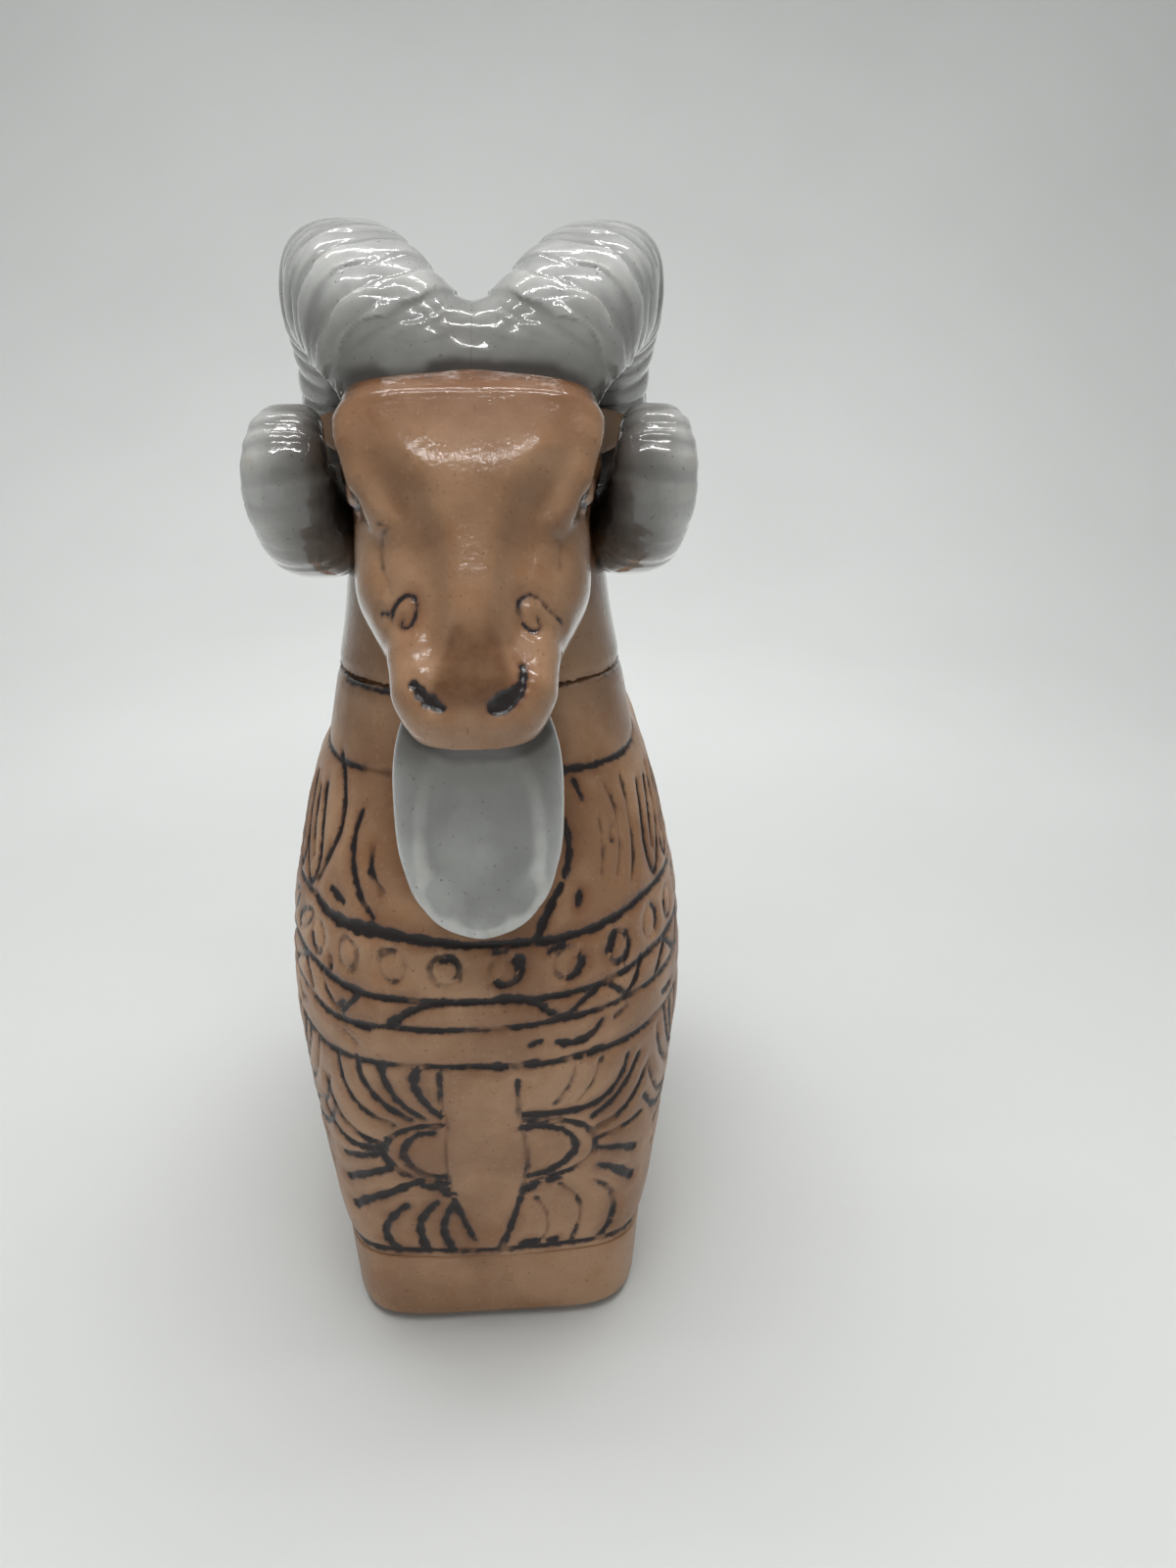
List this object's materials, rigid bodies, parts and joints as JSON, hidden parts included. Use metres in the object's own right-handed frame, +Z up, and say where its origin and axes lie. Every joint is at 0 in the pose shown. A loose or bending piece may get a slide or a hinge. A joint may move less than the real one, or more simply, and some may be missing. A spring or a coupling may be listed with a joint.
{
  "type": "ceramic ram figurine",
  "caption": "Hollow glazed ceramic ram standing on a plain band, with curled horns, a spoon-shaped beard and incised folk ornament.",
  "frame": {"origin": "centre of the flat underside, where the ram stands", "axes": "+Z up, the ram faces -Y, X across it with the plane X = 0 as its plane of symmetry"},
  "size_m": [0.0872, 0.1624, 0.2179],
  "materials": {
    "stained_glaze": "brown stained clay with dark lines wiped into its incised ornament, under clear gloss glaze",
    "white_glaze": "pale grey gloss glaze, thicker and darker in the hollows, with fine specks",
    "bare_clay": "unglazed fired clay, matt"
  },
  "bodies": {
    "root": {"body_shell": "stained_glaze", "plinth": "stained_glaze", "head": "stained_glaze", "ear_left": "stained_glaze", "ear_right": "stained_glaze", "horn_left": "white_glaze", "horn_right": "white_glaze", "beard": "white_glaze", "tail": "white_glaze", "base_plate": "bare_clay"}
  },
  "joints": []
}
